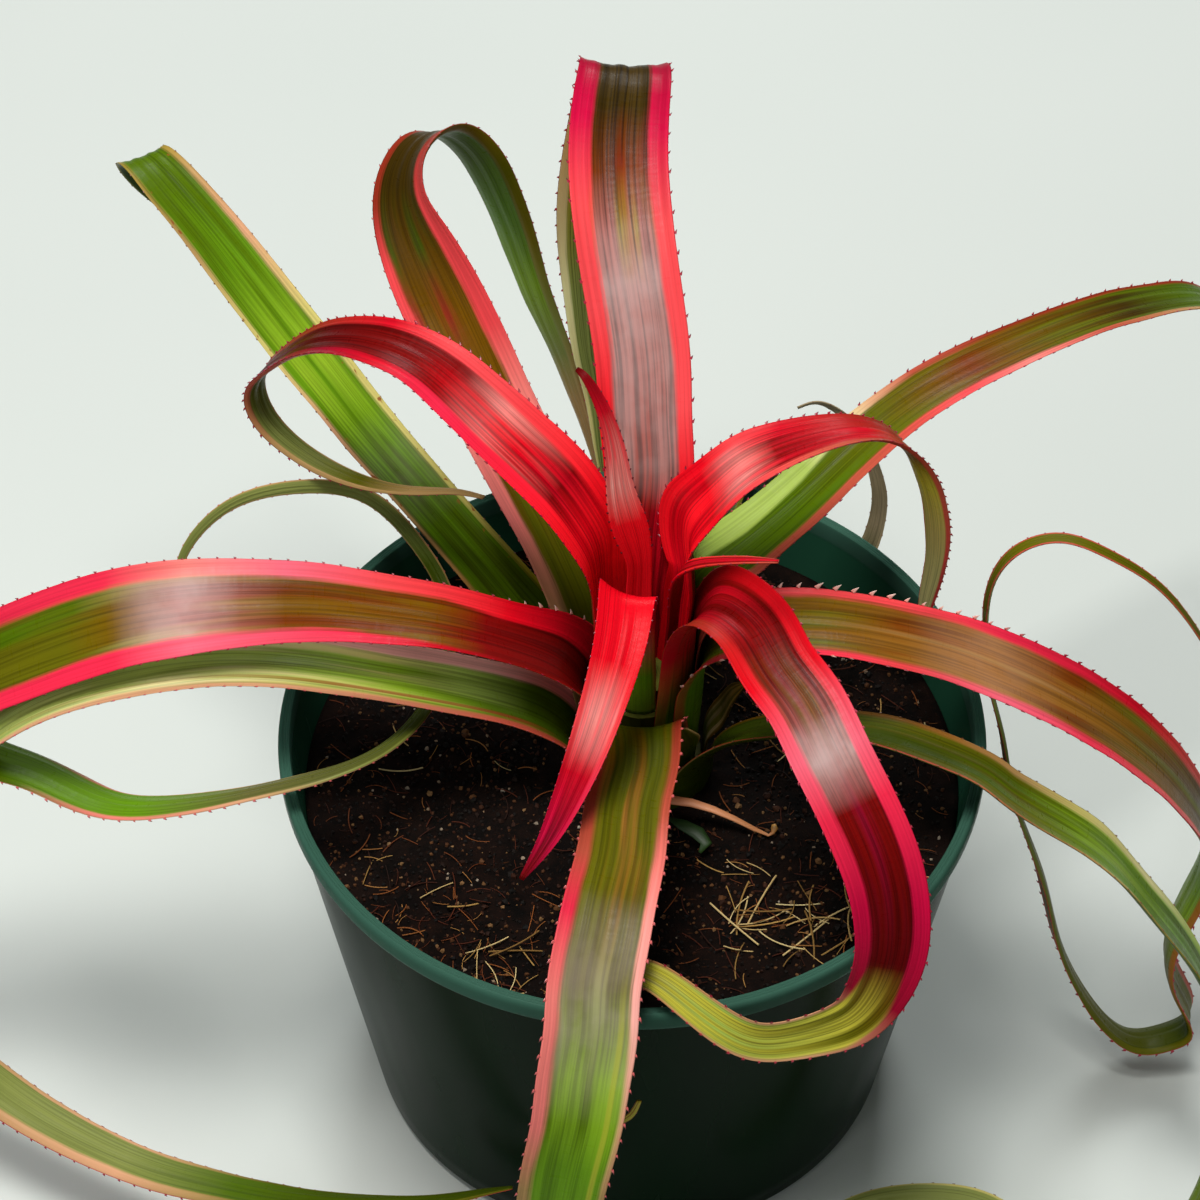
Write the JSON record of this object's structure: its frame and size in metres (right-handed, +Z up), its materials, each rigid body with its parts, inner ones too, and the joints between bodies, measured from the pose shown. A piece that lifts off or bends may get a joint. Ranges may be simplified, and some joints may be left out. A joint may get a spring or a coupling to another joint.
{
  "type": "potted variegated bromeliad",
  "caption": "Trailing bromeliad with toothed, red-edged strap leaves that arch out of nested sheaths and curl at their tips, in a round tapered nursery pot of potting mix.",
  "frame": {"origin": "middle of the pot's flat underside, on the surface that it stands on", "axes": "+Z up along the pot's axis; -Y towards the front, where one leaf hangs over the rim; +X to the right seen from the front"},
  "size_m": [0.3418, 0.2381, 0.2209],
  "materials": {
    "pot": "glossy dark green moulded plastic with a paler lip",
    "potting_mix": "damp dark peat and coir with straw and bark",
    "stem": "pale fibrous stem",
    "leaf_green": "satin green with pink and cream margins",
    "leaf_wine": "satin wine red and olive with pink margins",
    "leaf_red": "satin bright red",
    "bract": "matt dry tan"
  },
  "bodies": {
    "root": {"pot": "pot", "potting_mix": "potting_mix", "stem": "stem", "leaf_front": "leaf_green", "leaf_right_low": "leaf_green", "leaf_left_low": "leaf_green", "leaf_back_left_low": "leaf_green", "leaf_back_left": "leaf_wine", "leaf_back": "leaf_wine", "leaf_left": "leaf_wine", "leaf_right": "leaf_wine", "leaf_back_right": "leaf_green", "leaf_back_low": "leaf_green", "leaf_front_right": "leaf_red", "leaf_inner_left": "leaf_red", "leaf_inner_right": "leaf_red", "leaf_inner_front": "leaf_red", "leaf_heart": "leaf_red", "leaf_curl": "leaf_red", "bract_front": "leaf_green", "bract_right": "bract"}
  },
  "joints": []
}
